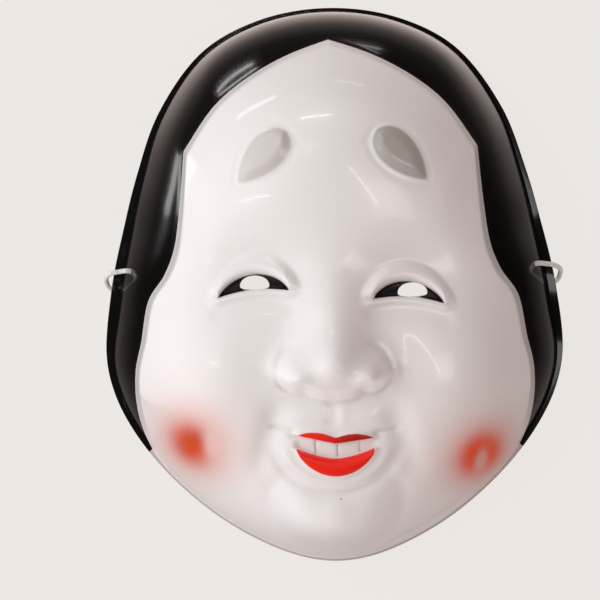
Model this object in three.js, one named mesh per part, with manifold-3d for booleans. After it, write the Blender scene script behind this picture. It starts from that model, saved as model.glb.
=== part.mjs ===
// An okame mask: one thin moulded shell, face and hair together, with a round elastic
// through a hole at each temple and a knot inside each hole.
// The mask lies face up on its rim. X runs to the right of the picture of the face, Y
// towards the forehead and Z out of the face. The origin is the middle of the shell's
// box, on the surface that the rim rests on. Millimetres.

import * as THREE from "three";
import { mergeVertices } from "three/addons/utils/BufferGeometryUtils.js";
import Module from "manifold-3d";

const wasm = await Module();
wasm.setup();

// Driving dimensions of the shell
const mask_width = 177.6;
const mask_height = 215.2;
const dome_height = 56;        // crest of the plain dome, above its foot
const wall = 1.2;              // thickness of the moulded sheet
const hair_step = 3;           // how far the face stands proud of the hair
const step_run = 2.2;          // width of the sloping wall of that step
const flange_side = 3.4;       // flat rim at the sides
const flange_top = 1.2;        // flat rim at the forehead
const flange_chin = 1.6;       // flat rim at the chin
const chin_margin = 1.2;       // strip between the face and the flange where there is no hair
const chin_run = 26;           // where there is no hair, the face rises as gently as this
const hair_taper = 4;          // over which a narrowing strip of hair makes the step gentler
const form_fade = 14;          // over which the face's forms die out towards its edge
const valley_width = 3;        // to each side, where the inner surface smooths out narrow valleys

// Driving dimensions of the elastic and its holes
const cord_diameter = 1.8;
const hole_clearance = 0.6;    // round the elastic in its hole
const hole_inset = 12.2;       // from the mask's widest point to the hole, across
const hole_y = 6.6;
const straight_run = 1.6;      // of the elastic, from the middle of the wall outwards
const knot_seat = 0.3;         // between the wall's inside and the knot
const knot_gap = 0.32;         // between the elastic's end and its knot
const rim_arch = 4;            // how far the rim lifts over the elastic
const rim_arch_reach = 26;     // half the length of that lift
const knot_diameter = 4.6;
const knot_length = 4.4;

// Driving dimensions of the eye holes
const pupil_width = 11.8;
const pupil_height = 6.2;

const half_width = mask_width / 2;
const half_height = mask_height / 2;
const hole_x = half_width - hole_inset;
const hole_diameter = cord_diameter + 2 * hole_clearance;

// The rim seen from the front, from the forehead down the right side to the chin.
// Pairs are shares of the half width and the half height.
const rim_shape = [
  [0, 1], [0.3, 0.962], [0.552, 0.852], [0.749, 0.635], [0.848, 0.417], [0.918, 0.2],
  [0.968, -0.02], [1, -0.236], [0.966, -0.381], [0.878, -0.526], [0.729, -0.681],
  [0.512, -0.836], [0.3, -0.937], [0.14, -0.985], [0, -1],
];

// The edge between hair and face: from the parting to the corner at the temple, and
// from that corner down to the tip of the hair on the cheek.
const hair_over_brow = [[0, 0.846], [0.182, 0.784], [0.343, 0.706], [0.475, 0.615], [0.605, 0.465]];
const hair_by_cheek = [
  [0.605, 0.465], [0.611, 0.361], [0.619, 0.27], [0.642, 0.13], [0.685, 0.044], [0.76, -0.041],
  [0.8, -0.19], [0.829, -0.275], [0.842, -0.378], [0.835, -0.48], [0.805, -0.585],
];

// The crest of the dome, where all the rings of the surface start
const crest_y = -0.14 * half_height;

// Smooth step from 0 to 1 while value goes from low to high
function ramp(value, low, high) {
  const share = Math.min(1, Math.max(0, (value - low) / (high - low)));
  return share * share * (3 - 2 * share);
}

// A round hill of height 1 at a place, with a reach in each direction, in shares
function hill(a, b, place, reach) {
  const across = (a - place[0]) / reach[0];
  const up = (b - place[1]) / reach[1];
  return Math.exp(-(across * across + up * up));
}

// A smooth plan curve, turned into its radius from the crest at each turn away from
// the forehead: turn 0 points to the forehead and a half turn to the chin.
function radius_table(shape, samples) {
  const points = shape.map(([a, b]) => new THREE.Vector3(a * half_width, b * half_height, 0));
  const curve = new THREE.CatmullRomCurve3(points, false, "centripetal");
  return curve.getPoints(samples).map((point) => ({
    turn: Math.atan2(point.x, point.y - crest_y),
    radius: Math.hypot(point.x, point.y - crest_y),
  }));
}

function look_up(table, turn) {
  let index = 1;
  while (index < table.length - 1 && table[index].turn < turn) index += 1;
  const low = table[index - 1];
  const high = table[index];
  const share = Math.min(1, Math.max(0, (turn - low.turn) / (high.turn - low.turn)));
  return low.radius + share * (high.radius - low.radius);
}

const rim_end = [[-0.3, 0.962], ...rim_shape, [-0.14, -0.985]];
const rim_table = radius_table(rim_end, 420).filter((row) => row.turn > -0.01 && row.turn < Math.PI + 0.01);
const hairline_table = [...radius_table(hair_over_brow, 60), ...radius_table(hair_by_cheek, 120).slice(1)];
const hair_tip_turn = hairline_table[hairline_table.length - 1].turn;
const hair_tip_fade = [-0.05, 0.15];   // turns round that tip over which the hair ends
const chin_flange_loss = 0.6;          // share of the side flange's extra width that ends there

// How far the rim's underside lifts at a place, to let the elastic pass under it
function rim_lift(x, y) {
  const away = Math.min(1, Math.abs(y) / rim_arch_reach);
  const side = ramp(Math.abs(x), 0.5 * half_width, 0.8 * half_width);
  return rim_arch * side * Math.cos(0.5 * Math.PI * away) ** 2;
}

// The main plan radii at a turn: the rim, the foot of the shell inside its flange, and
// the edge between hair and face
function plan(turn) {
  const rim = look_up(rim_table, turn);
  const side = Math.sin(turn) ** 2;
  const below_hair = ramp(turn, hair_tip_turn + hair_tip_fade[0], hair_tip_turn + hair_tip_fade[1]);
  const end = turn < Math.PI / 2 ? flange_top : flange_chin;
  const foot = rim - (end + (flange_side - end) * side * (1 - chin_flange_loss * below_hair));
  const hair_edge = Math.min(look_up(hairline_table, turn), foot - chin_margin);
  const face = hair_edge + below_hair * (foot - chin_margin - hair_edge);
  return { rim, foot, face };
}

// A rounder version of the foot's outline: its mean radius and three cosine waves
const round_terms = [0, 1, 2, 3].map((wave) => {
  const samples = 90;
  let sum = 0;
  for (let k = 0; k < samples; k += 1) {
    const turn = (Math.PI * (k + 0.5)) / samples;
    sum += plan(turn).foot * Math.cos(wave * turn);
  }
  return ((wave ? 2 : 1) * sum) / samples;
});

function round_foot(turn) {
  return round_terms.reduce((sum, term, wave) => sum + term * Math.cos(wave * turn), 0);
}

// The plain dome: steep at its foot and broad on top. Its level lines follow the foot
// near the rim, and the rounder outline towards the crest.
function dome(x, y) {
  const turn = Math.atan2(Math.abs(x), y - crest_y);
  const { foot } = plan(turn);
  const radius = Math.hypot(x, y - crest_y);
  const round = round_foot(turn);
  const share = Math.min(1, radius / (round + (foot - round) * ramp(radius / foot, 0.3, 1)));
  const base = wall + rim_lift(x, y);
  return base + (dome_height - rim_lift(x, y)) * (1 - share ** 3) ** 0.8;
}

// The broad forms of the face, as heights in shares of the dome's height
const broad_forms = [
  { place: [0, 0.47], reach: [0.55, 0.33], rise: 0.17 },
  { place: [-0.52, -0.33], reach: [0.3, 0.25], rise: 0.14 },
  { place: [0.52, -0.36], reach: [0.3, 0.25], rise: 0.14 },
  { place: [0, -0.83], reach: [0.27, 0.13], rise: 0.22 },
  { place: [0, -0.54], reach: [0.26, 0.16], rise: 0.07 },
  { place: [-0.31, 0.07], reach: [0.2, 0.11], rise: -0.08 },
  { place: [0.31, 0.04], reach: [0.2, 0.11], rise: -0.08 },
];

// The nose: a low bridge, a round tip and a wing on each side, cut off steeply below
const nose_forms = [
  { place: [0, -0.12], reach: [0.09, 0.15], rise: 0.15 },
  { place: [0, -0.265], reach: [0.13, 0.1], rise: 0.28 },
  { place: [-0.15, -0.3], reach: [0.07, 0.065], rise: 0.17 },
  { place: [0.15, -0.3], reach: [0.07, 0.065], rise: 0.17 },
];
const nose_base = [-0.4, -0.33];

function nose(a, b) {
  const hills = nose_forms.map(({ place, reach, rise }) => rise * hill(a, b, place, reach));
  return ramp(b, ...nose_base) * hills.reduce((sum, value) => sum + value, 0);
}

// The small forms: eyelids and eye slits, eyebrows, lips and teeth, cheek dimples.
// Each one has its own place, because the two sides of the mask differ a little.
const eyes = [
  { place: [-0.309, -0.0245], side: -1 },
  { place: [0.312, -0.0576], side: 1 },
];
const eye_half_length = 0.147;
const eye_fade = [0.85, 1.4];
const eye_lean = 0.0105;
const pupil_rise = 0.036;
const slit = { upper_bow: 0.0645, lower_bow: 0.0115, reach: 0.012, swell: 0.016, depth: 0.035 };
const upper_lid = { above: 0.035, reach: 0.035, rise: 0.05 };
const lower_lid = { below: 0.024, reach: 0.022, rise: 0.03 };

// A soft ridge or groove of height 1 along a line, by the distance from that line
function ridge(distance, reach) {
  return Math.exp(-((distance / reach) ** 2));
}

// The slit is a crescent, bowed upwards and a little lower on the temple side. The
// upper lid swells above it and a narrow lower lid runs below it.
function eye(a, b, { place, side }) {
  const along = (side * (a - place[0])) / eye_half_length;
  const bow = Math.max(0, 1 - along * along);
  const rise = b - place[1] + eye_lean * along;
  const upper = slit.upper_bow * bow;
  const lower = slit.lower_bow * bow;
  const over = upper_lid.rise * ridge(rise - upper - upper_lid.above, upper_lid.reach);
  const under = lower_lid.rise * ridge(rise - lower + lower_lid.below, lower_lid.reach);
  const between = slit.depth * ridge(rise - (upper + lower) / 2, slit.reach + slit.swell * bow);
  return (1 - ramp(Math.abs(along), ...eye_fade)) * (over + under - between);
}

const brows = [
  { place: [-0.253, 0.444], side: -1 },
  { place: [0.265, 0.437], side: 1 },
];
const brow_radius = 0.0725;
const brow_tail = 0.146;
const brow_lean = 0.69;
const brow_rise = 0.036;
const brow_edge = [0.012, -0.022];

// Distance outside a drop with a round head and a pointed tail, in half heights
function drop_distance(across, down, head, tail) {
  const x = Math.abs(across);
  const slope = head / tail;
  const lean = Math.sqrt(1 - slope * slope);
  const turn = lean * down - slope * x;
  if (turn < 0) return Math.hypot(x, down) - head;
  if (slope * down + lean * x > lean * tail + head) return Math.hypot(x, down - tail);
  return lean * x + slope * down - head;
}

function brow(a, b, { place, side }) {
  const across = (side * (a - place[0]) * half_width) / half_height;
  const up = b - place[1];
  const down = -up * Math.cos(brow_lean) + across * Math.sin(brow_lean);
  const beside = across * Math.cos(brow_lean) + up * Math.sin(brow_lean);
  return brow_rise * ramp(drop_distance(beside, down, brow_radius, brow_tail), ...brow_edge);
}

const mouth_middle = 0.004;
const mouth_half_width = 0.153;
const mouth_fade = [0.85, 1.25];
const mouth_lines = [
  { height: -0.486, sag: 0.012, reach: 0.018, swell: 0, rise: 0.035 },
  { height: -0.508, sag: 0.022, reach: 0.016, swell: 0, rise: -0.035 },
  { height: -0.523, sag: 0.062, reach: 0.014, swell: 0.02, rise: 0.05 },
];

// Smiling lips, apart over a row of teeth: the upper lip, the gap with the teeth and
// the lower lip. Each line sags in the middle.
function mouth(a, b) {
  const along = (a - mouth_middle) / mouth_half_width;
  const bow = Math.max(0, 1 - along * along);
  const heights = mouth_lines.map(({ height, sag, reach, swell, rise }) => (
    rise * ridge(b - height + sag * bow, reach + swell * bow)
  ));
  return (1 - ramp(Math.abs(along), ...mouth_fade)) * heights.reduce((sum, value) => sum + value, 0);
}

const dimples = { places: [[-0.575, -0.5], [0.59, -0.545]], reach: [0.045, 0.04], depth: 0.035 };

// The fold of the smile on each side, from the nose's wing outwards and down
const fold = { inner: 0.235, spread: 0.096, reach: 0.045, depth: 0.05 };
const fold_span = { top: -0.36, full_top: -0.44, full_bottom: -0.54, bottom: -0.62 };

function folds(a, b) {
  const line = fold.inner + fold.spread * ramp(b, fold_span.top - 0.02, fold_span.bottom);
  const fade = ramp(b, fold_span.bottom, fold_span.full_bottom) * ramp(b, fold_span.top, fold_span.full_top);
  return -fold.depth * fade * (ridge(a - line, fold.reach) + ridge(-a - line, fold.reach));
}

function broad_face(a, b) {
  const hills = broad_forms.map(({ place, reach, rise }) => rise * hill(a, b, place, reach));
  return hills.reduce((sum, value) => sum + value, 0) + nose(a, b) + folds(a, b);
}

function small_face(a, b) {
  const eye_relief = eyes.reduce((sum, one) => sum + eye(a, b, one), 0);
  const brow_relief = brows.reduce((sum, one) => sum + brow(a, b, one), 0);
  const dimple_hills = dimples.places.reduce((sum, place) => sum + hill(a, b, place, dimples.reach), 0);
  return eye_relief + brow_relief + mouth(a, b) - dimples.depth * dimple_hills;
}

// The height of the outer skin. Forms of the face fade out at the hair's edge, and the
// step lifts the whole face above the hair.
function skin(x, y, with_small_forms) {
  const turn = Math.atan2(Math.abs(x), y - crest_y);
  const { face, foot } = plan(turn);
  const radius = Math.hypot(x, y - crest_y);
  const a = x / half_width;
  const b = y / half_height;
  const hair_width = ramp(foot - face, chin_margin, chin_margin + hair_taper);
  const run = chin_run + (step_run - chin_run) * hair_width;
  const step = hair_step * ramp(radius, face, face - run);
  const fade = ramp(radius, face, face - form_fade);
  const relief = broad_face(a, b) + (with_small_forms ? small_face(a, b) : 0);
  return dome(x, y) + step + dome_height * relief * fade;
}

function at(turn, radius) {
  return [radius * Math.sin(turn), crest_y + radius * Math.cos(turn)];
}

// Outward direction of the smooth skin at a place, from its slopes
function skin_normal(x, y) {
  const nudge = 0.4;
  const slope_x = (skin(x + nudge, y, false) - skin(x - nudge, y, false)) / (2 * nudge);
  const slope_y = (skin(x, y + nudge, false) - skin(x, y - nudge, false)) / (2 * nudge);
  return new THREE.Vector3(-slope_x, -slope_y, 1).normalize();
}

// The inner surface, one wall below the skin. It keeps below the slits and the teeth,
// and takes the lowest of three heights in the valleys beside the nose and the mouth.
function under_skin(x, y) {
  const a = x / half_width;
  const b = y / half_height;
  const near_eyes = eyes.map(({ place }) => hill(a, b, place, [0.22, 0.09]));
  const reach = valley_width * Math.max(hill(a, b, [0, -0.38], [0.4, 0.25]), ...near_eyes);
  const heights = [-reach, 0, reach].flatMap((shift) => [skin(x + shift, y, false), skin(x + shift, y, true)]);
  const point = new THREE.Vector3(x, y, Math.min(...heights)).addScaledVector(skin_normal(x, y), -wall);
  return [point.x, point.y, point.z];
}

// The face is meshed in level rows, closer together where it has more to show: each
// span runs down to a height on the face's edge, in shares, with a number of rows.
const row_spans = [
  [0.846, 0.53, 6], [0.53, 0.3, 7], [0.3, 0.08, 4], [0.08, -0.11, 9], [-0.11, -0.24, 4], [-0.24, -0.42, 7],
  [-0.42, -0.63, 11],
];
const chin_rows = 8;
const outer_columns = 26;
const column_crowding = 1.2;   // over 1, so that the columns are closer in the middle
const inner_columns = 22;
const hair_rings = [0.35, 0.68, 0.92];
const inner_hair_rings = [0, 0.5, 0.9];

// The turn at which the face's edge is at a given height, found by halving
function turn_at_height(y) {
  let low = 0;
  let high = Math.PI;
  for (let step = 0; step < 40; step += 1) {
    const middle = (low + high) / 2;
    if (at(middle, plan(middle).face)[1] > y) low = middle;
    else high = middle;
  }
  return low;
}

// Turns of the rows' right ends, from the parting to the chin
function row_turns() {
  const turns = [];
  for (const [top, bottom, count] of row_spans) {
    for (let k = 0; k < count; k += 1) {
      turns.push(turn_at_height((top + ((bottom - top) * k) / count) * half_height));
    }
  }
  const last = turn_at_height(row_spans[row_spans.length - 1][1] * half_height);
  for (let k = 0; k < chin_rows; k += 1) turns.push(last + ((Math.PI - last) * k) / chin_rows);
  return turns.slice(1);
}

// Everything outside the face at one turn: down the step, over the hair, round the
// flange, and back up inside as far as the face's edge
function edge_rings(turn) {
  const { rim, foot, face } = plan(Math.abs(turn));
  const outside = [face - step_run, face, ...hair_rings.map((share) => face + (foot - face) * share)];
  const inside = [...inner_hair_rings].reverse().map((share) => face + (foot - face) * share);
  const [foot_x, foot_y] = at(turn, foot);
  const lift = rim_lift(foot_x, foot_y);
  return [
    ...outside.map((radius) => at(turn, radius)).map(([x, y]) => [x, y, skin(x, y, true)]),
    [foot_x, foot_y, wall + lift],
    [...at(turn, rim), wall + lift],
    [...at(turn, rim), lift],
    [...at(turn, foot - wall), lift],
    ...[...inside, face - step_run].map((radius) => under_skin(...at(turn, radius))),
  ];
}

function shell_geometry() {
  const right = row_turns();
  const rows = right.length;
  const turns = [0, ...right, Math.PI, ...[...right].reverse().map((turn) => -turn)];
  const columns = turns.map(edge_rings);
  const rings = columns[0].length;
  const positions = columns.flat(2);
  const index = [];
  for (let k = 0; k < turns.length; k += 1) {
    const here = k * rings;
    const next = ((k + 1) % turns.length) * rings;
    for (let ring = 0; ring < rings - 1; ring += 1) {
      index.push(here + ring, next + ring, next + ring + 1, here + ring, next + ring + 1, here + ring + 1);
    }
  }

  // Fill the face between its left and right edge, on the given ring, row by row
  const fill = (ring, count, surface, upward) => {
    const add = (one, two, three) => index.push(...(upward ? [one, two, three] : [one, three, two]));
    const radius_of = (turn) => plan(turn).face - step_run;
    const lines = right.map((turn, k) => {
      const [end_x, y] = at(turn, radius_of(turn));
      const line = [(2 * rows + 1 - k) * rings + ring];
      for (let column = 1; column < count; column += 1) {
        const share = (2 * column) / count - 1;
        positions.push(...surface(Math.sign(share) * Math.abs(share) ** column_crowding * end_x, y));
        line.push(positions.length / 3 - 1);
      }
      line.push((k + 1) * rings + ring);
      return line;
    });
    const parting = ring;
    const chin = (rows + 1) * rings + ring;
    for (let column = 0; column < count; column += 1) {
      add(parting, lines[0][column], lines[0][column + 1]);
      add(lines[rows - 1][column], chin, lines[rows - 1][column + 1]);
      for (let row = 0; row < rows - 1; row += 1) {
        const [high_left, high_right] = lines[row].slice(column, column + 2);
        const [low_left, low_right] = lines[row + 1].slice(column, column + 2);
        if (column < count / 2) {
          add(high_left, low_left, low_right);
          add(high_left, low_right, high_right);
        } else {
          add(high_left, low_left, high_right);
          add(high_right, low_left, low_right);
        }
      }
    }
  };
  fill(0, outer_columns, (x, y) => [x, y, skin(x, y, true)], true);
  fill(rings - 1, inner_columns, under_skin, false);

  const geometry = new THREE.BufferGeometry();
  geometry.setAttribute("position", new THREE.Float32BufferAttribute(positions, 3));
  geometry.setIndex(index);
  return geometry;
}

// A closed geometry as a solid for joining and cutting, and back again
function to_solid(geometry) {
  const bare = geometry.clone();
  bare.deleteAttribute("normal");
  bare.deleteAttribute("uv");
  const merged = mergeVertices(bare, 1e-4);
  const mesh = new wasm.Mesh({
    numProp: 3,
    vertProperties: new Float32Array(merged.attributes.position.array),
    triVerts: new Uint32Array(merged.index.array),
  });
  return new wasm.Manifold(mesh);
}

function to_geometry(solid) {
  const mesh = solid.getMesh();
  const geometry = new THREE.BufferGeometry();
  geometry.setAttribute("position", new THREE.BufferAttribute(new Float32Array(mesh.vertProperties), 3));
  geometry.setIndex(new THREE.BufferAttribute(new Uint32Array(mesh.triVerts), 1));
  geometry.computeVertexNormals();
  return geometry;
}

// The see-through pupil: a round arch over a flatter lower edge, cut straight through
function pupil_cutter({ place }) {
  const shape = new THREE.Shape();
  shape.absellipse(0, 0, pupil_width / 2, pupil_height / 2, 0, 2 * Math.PI, false, 0);
  const options = { depth: 2 * dome_height, bevelEnabled: false, curveSegments: 8 };
  const cutter = new THREE.ExtrudeGeometry(shape, options);
  return cutter.translate(place[0] * half_width, (place[1] + pupil_rise) * half_height, 0);
}

// Where the elastic goes through the wall, and the wall's outward direction there
function temple_hole(side) {
  const place = new THREE.Vector3(side * hole_x, hole_y, skin(side * hole_x, hole_y, false));
  const out = skin_normal(side * hole_x, hole_y);
  place.addScaledVector(out, -wall / 2);
  return { place, out };
}

function aim(object, place, direction) {
  object.position.copy(place);
  object.quaternion.setFromUnitVectors(new THREE.Vector3(0, 1, 0), direction);
  object.updateMatrix();
  return object.matrix;
}

function hole_cutter(side) {
  const { place, out } = temple_hole(side);
  const cutter = new THREE.CylinderGeometry(hole_diameter / 2, hole_diameter / 2, 6 * wall, 14);
  return cutter.applyMatrix4(aim(new THREE.Object3D(), place, out));
}

function mask_shell() {
  let solid = to_solid(shell_geometry());
  for (const one of eyes) solid = solid.subtract(to_solid(pupil_cutter(one)));
  for (const side of [-1, 1]) solid = solid.subtract(to_solid(hole_cutter(side)));
  return to_geometry(solid);
}

// The knot: a turned bead with a waist, pulled up against the inside of the wall
function knot(side) {
  const { place, out } = temple_hole(side);
  const radius = knot_diameter / 2;
  const profile = [
    [0, 0], [0.7, 0.04], [1, 0.26], [0.8, 0.5], [0.96, 0.74], [0.6, 0.97], [0, 1],
  ].map(([r, t]) => new THREE.Vector2(r * radius, -t * knot_length));
  const geometry = new THREE.LatheGeometry(profile.reverse(), 10);
  const seat = place.clone().addScaledVector(out, -(wall / 2 + knot_seat));
  return geometry.applyMatrix4(aim(new THREE.Object3D(), seat, out));
}

// The elastic's route, from the left knot to the right knot: out of the hole, round
// the rim, under its arch, and loosely over the floor inside the hollow. Chosen by hand.
const route_inside = [
  [-76, -6.6, 1], [-62, -18, 0.95], [-42, -25, 0.95], [-20, -17, 0.95], [-2, 2, 0.95],
  [16, 22, 0.95], [36, 31, 0.95], [54, 22, 0.95], [66, 6, 0.95], [76, -5, 1],
];
const route_outside = [
  [80.2, 6.6, 15.6], [83, 6.2, 15.2], [85.5, 5.3, 12.9], [86.9, 4.1, 9.6], [87.3, 2.6, 6.2],
  [86.8, 0.6, 3.1], [84.2, -1.6, 1.2],
];

function elastic_route() {
  const start = temple_hole(1);
  const inner_end = start.place.clone().addScaledVector(start.out, knot_gap - knot_seat - wall / 2);
  const right = [inner_end, start.place.clone().addScaledVector(start.out, straight_run)];
  for (const point of route_outside) right.push(new THREE.Vector3(...point));
  const left = right.map((point) => new THREE.Vector3(-point.x, point.y, point.z));
  const middle = route_inside.map((point) => new THREE.Vector3(...point));
  return [...left, ...middle, ...right.reverse()];
}

function elastic_cord() {
  const path = new THREE.CatmullRomCurve3(elastic_route(), false, "centripetal");
  const section = new THREE.Shape();
  section.absarc(0, 0, cord_diameter / 2, 0, 2 * Math.PI, false);
  const options = { steps: 80, curveSegments: 4, bevelEnabled: false, extrudePath: path };
  return new THREE.ExtrudeGeometry(section, options);
}

function piece(name, geometry, finish) {
  const mesh = new THREE.Mesh(geometry, new THREE.MeshStandardMaterial(finish));
  mesh.name = name;
  return mesh;
}

const lacquer = { color: 0xeae6e4, roughness: 0.22, metalness: 0 };
const elastic = { color: 0xe9e6e2, roughness: 0.9, metalness: 0 };

const mask = new THREE.Group();
mask.add(piece("mask_shell", mask_shell(), lacquer));
mask.add(piece("elastic_cord", elastic_cord(), elastic));
mask.add(piece("knot_left", knot(-1), elastic));
mask.add(piece("knot_right", knot(1), elastic));

export default mask;
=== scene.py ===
# %% [markdown]
# # An okame mask, moulded in one thin sheet
# The object is a festival mask: a round smiling face framed by black hair, pressed from one
# thin sheet of plastic, sprayed white and painted. A white elastic runs through a hole at
# each temple and ends in a knot on the inside.
#
# This lesson builds it from formulas. One function of the place on the mask gives the height
# of its skin, a grid of those heights becomes the shell, and the paint is laid on as
# distances from its own outlines, so that every edge stays sharp.
#
# The mask lies face up on its rim, and everything is worked out in millimetres and stored in
# metres. X runs to the right of the face, Y to the forehead and Z out of the face.

import math

import bpy
import numpy as np
from mathutils import Matrix, Vector


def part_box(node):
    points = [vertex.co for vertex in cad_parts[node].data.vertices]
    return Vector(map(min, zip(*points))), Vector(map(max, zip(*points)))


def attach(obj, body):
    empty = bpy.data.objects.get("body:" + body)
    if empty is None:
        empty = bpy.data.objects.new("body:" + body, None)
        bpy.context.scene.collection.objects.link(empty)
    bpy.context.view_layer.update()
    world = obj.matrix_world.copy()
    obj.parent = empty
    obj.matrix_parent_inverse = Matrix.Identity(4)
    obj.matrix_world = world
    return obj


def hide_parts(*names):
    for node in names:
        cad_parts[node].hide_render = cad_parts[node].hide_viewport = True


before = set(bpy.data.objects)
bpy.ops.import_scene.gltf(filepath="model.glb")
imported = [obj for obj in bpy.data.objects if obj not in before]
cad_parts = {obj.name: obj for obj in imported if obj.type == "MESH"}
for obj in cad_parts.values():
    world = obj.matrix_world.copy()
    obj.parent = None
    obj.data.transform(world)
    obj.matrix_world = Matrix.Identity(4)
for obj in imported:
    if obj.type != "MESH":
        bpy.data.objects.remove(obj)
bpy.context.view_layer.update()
millimetre = 0.001
shell_low, shell_high = (np.array(corner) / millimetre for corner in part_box("mask_shell"))
print("the shell is", np.round(shell_high - shell_low, 1), "mm")

# %% [markdown]
# ## The camera
# The picture is square, and the mask nearly fills it. The camera hangs over the middle of the
# mask, at the distance from which its nose looks as large as it does in the picture. It looks
# a little to one side, so that the mask sits right of the middle, and it is rolled by one
# degree, because the mask leans that much to the left.

# %% Camera
camera_height = 0.52
lens = 80
sensor = 36
image_size = 600
mask_middle = (332.5, 285)
lean = 0.0185
pixel = sensor / lens * camera_height / image_size


def rim_plane_point(across, down):
    """The place on the rim's plane that is seen at a pixel of the square picture: the
    distance from the mask's middle in pixels, turned back by the lean, times the size of
    one pixel."""
    right = across - mask_middle[0]
    up = mask_middle[1] - down
    return Vector(((right + lean * up) * pixel, (up - lean * right) * pixel, 0))


camera_data = bpy.data.cameras.new("camera")
camera_data.lens = lens
camera_data.sensor_width = sensor
camera = bpy.data.objects.new("camera", camera_data)
bpy.context.scene.collection.objects.link(camera)
bpy.context.scene.camera = camera
eye_point = Vector((0, 0, camera_height))
back = (eye_point - rim_plane_point(image_size / 2, image_size / 2)).normalized()
right = Vector((lean, 1, 0)).cross(back).normalized()
turned = Matrix((right, back.cross(right), back)).transposed()
camera.matrix_world = Matrix.Translation(eye_point) @ turned.to_4x4()
bpy.context.scene.view_settings.view_transform = "Standard"
print("one pixel is", round(pixel / millimetre, 3), "mm at the rim")

# %% [markdown]
# ## The outline and the plain dome
# The mould is a dome over an egg-shaped outline. Every place is told by its turn, the angle
# from the forehead round to the chin, and its radius from the crest of the dome. A smooth
# curve through a few points gives the radius of the rim at each turn, and two more give the
# edge between hair and face. Both halves of the mask use the same curves.

# %% Sizes of the shell
wall = 1.2
dome_height = 56
hair_step = 3
step_run = 2.8
flange = {"side": 3.4, "top": 1.2, "chin": 1.15}
flange_loss = {"low": 0.45, "low_turns": (84, 102), "below_hair": 0.97}
chin_margin = 1.2
chin_run = 26
hair_taper = 8
form_fade = 24
parting_round = 0.13
rim_arch = 4
rim_arch_reach = 26
half_width = (shell_high[0] - shell_low[0]) / 2
half_height = (shell_high[1] - shell_low[1]) / 2
crest_y = -0.14 * half_height

rim_shape = [
    (0, 1), (0.3, 0.962), (0.552, 0.852), (0.749, 0.635), (0.848, 0.417), (0.918, 0.2),
    (0.968, -0.02), (1, -0.236), (0.966, -0.381), (0.878, -0.526), (0.729, -0.681),
    (0.512, -0.836), (0.3, -0.937), (0.14, -0.985), (0, -1),
]
hair_over_brow = [(0, 0.846), (0.182, 0.784), (0.343, 0.706), (0.475, 0.615), (0.605, 0.465)]
hair_by_cheek = [
    (0.605, 0.465), (0.611, 0.361), (0.619, 0.27), (0.642, 0.13), (0.685, 0.044),
    (0.76, -0.041), (0.8, -0.19), (0.829, -0.275), (0.842, -0.378), (0.835, -0.48),
    (0.805, -0.585),
]


def ramp(value, low, high):
    """A smooth step from 0 at low to 1 at high: three times the share squared, less twice
    the share cubed."""
    share = np.clip((value - low) / (high - low), 0, 1)
    return share * share * (3 - 2 * share)


def hill(across, up, place, reach):
    """A round hill of height 1: e to the minus squared distance, each way in its reach."""
    return np.exp(-(((across - place[0]) / reach[0]) ** 2 + ((up - place[1]) / reach[1]) ** 2))


def ridge(distance, reach):
    """A ridge of height 1 along a line: e to the minus squared distance from the line."""
    return np.exp(-((distance / reach) ** 2))


def band(distance, place, reach, height):
    """A ridge of any height along the line at a place. A negative height makes a groove.
    Ridges and grooves are noted below as their place, reach and height."""
    return height * ridge(distance - place, reach)


def window(value, first, last):
    """1 between two ends and 0 outside them, with a smooth step at each end."""
    return ramp(value, *first) * ramp(value, *last)


def smooth_line(points, samples):
    """Samples along a curve through all the points. Each stretch is a cubic whose slopes
    come from its neighbours, with the square root of each gap as its length in time."""
    points = np.asarray(points, float)
    ends = np.vstack([2 * points[0] - points[1], points, 2 * points[-1] - points[-2]])
    place = np.linspace(0, len(points) - 1, samples + 1)
    first = np.minimum(place.astype(int), len(points) - 2)
    share = (place - first)[:, None]
    before, start, end, after = (ends[first + step] for step in range(4))
    pairs = ((before, start), (start, end), (end, after))
    gaps = [np.linalg.norm(two - one, axis=1, keepdims=True) ** 0.5 for one, two in pairs]
    middle = (end - start) / gaps[1]
    leave = (start - before) / gaps[0] - (end - before) / (gaps[0] + gaps[1]) + middle
    arrive = middle - (after - start) / (gaps[1] + gaps[2]) + (after - end) / gaps[2]
    leave, arrive = leave * gaps[1], arrive * gaps[1]
    square = 3 * (end - start) - 2 * leave - arrive
    cube = 2 * (start - end) + leave + arrive
    return start + share * (leave + share * (square + share * cube))


def turn_and_radius(x, y):
    """Polar place round the crest, the same on both sides of the mask."""
    return np.arctan2(np.abs(x), y - crest_y), np.hypot(x, y - crest_y)


def outline_table(shape, samples):
    """Turns and radii along a smooth line, from its points as shares of the half sizes."""
    line = smooth_line(np.array(shape) * [half_width, half_height], samples)
    return np.arctan2(line[:, 0], line[:, 1] - crest_y), turn_and_radius(*line.T)[1]


rim_turns, rim_radii = outline_table([(-0.3, 0.962), *rim_shape, (-0.14, -0.985)], 420)
inside_turns = (rim_turns > -0.01) & (rim_turns < math.pi + 0.01)
rim_turns, rim_radii = rim_turns[inside_turns], rim_radii[inside_turns]
brow_line = outline_table(hair_over_brow, 60)
cheek_line = outline_table(hair_by_cheek, 120)
hair_turns, hair_radii = (np.append(one, two[1:]) for one, two in zip(brow_line, cheek_line))
hair_tip_turn = hair_turns[-1]
print("the hair ends", round(math.degrees(hair_tip_turn)), "degrees from the forehead")

# %% The plain dome, its rim and the arch for the elastic


def rim_lift(x, y):
    """How far the rim's underside lifts over the elastic: a squared cosine along the side."""
    away = np.minimum(1, np.abs(y) / rim_arch_reach)
    side = ramp(np.abs(x), 0.5 * half_width, 0.8 * half_width)
    return rim_arch * side * np.cos(np.pi / 2 * away) ** 2


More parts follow.
